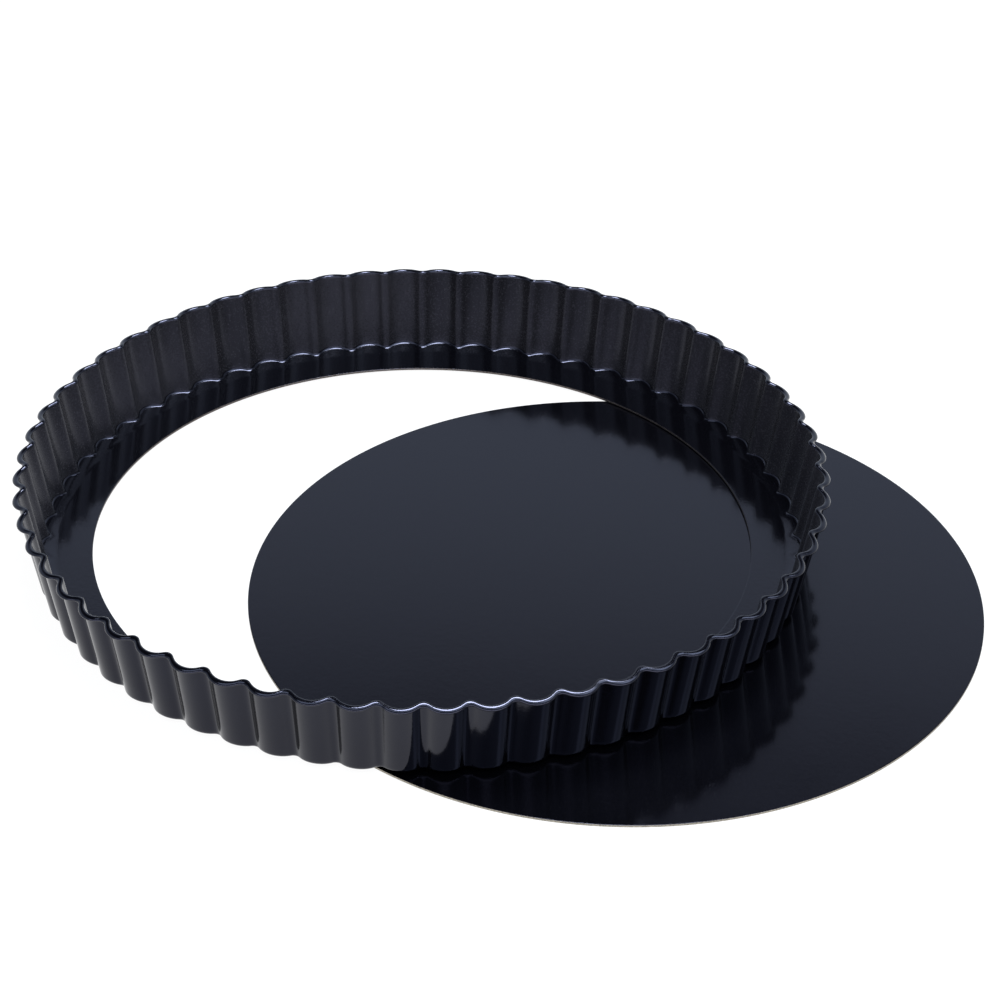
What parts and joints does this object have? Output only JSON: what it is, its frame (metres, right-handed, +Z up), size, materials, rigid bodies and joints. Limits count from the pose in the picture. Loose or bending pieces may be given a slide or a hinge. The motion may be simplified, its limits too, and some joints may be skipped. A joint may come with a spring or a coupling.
{
  "type": "tart pan",
  "caption": "Round loose-bottomed tart pan: a flared fluted ring with an inward ledge, lying on the flat lift-out disc that is its base.",
  "frame": {"origin": "middle of the bounding box of both pieces, on the plane that the loose base rests on", "axes": "+Z up; +X along the longest extent, from the ring towards the loose base that sticks out beyond it; +Y away from the viewer, to the far side of the ring"},
  "size_m": [0.3449, 0.3077, 0.0332],
  "materials": {
    "ring_coating": "satin dark non-stick coating on steel",
    "base_coating": "semi-gloss dark non-stick coating on steel"
  },
  "bodies": {
    "base": {"loose_base": "base_coating"},
    "ring": {"fluted_ring": "ring_coating"}
  },
  "joints": [
    {"name": "ring_lift", "type": "slide", "parent": "base", "child": "ring", "axis": [0, 0, 1], "range_m": [0, 0.06]}
  ]
}
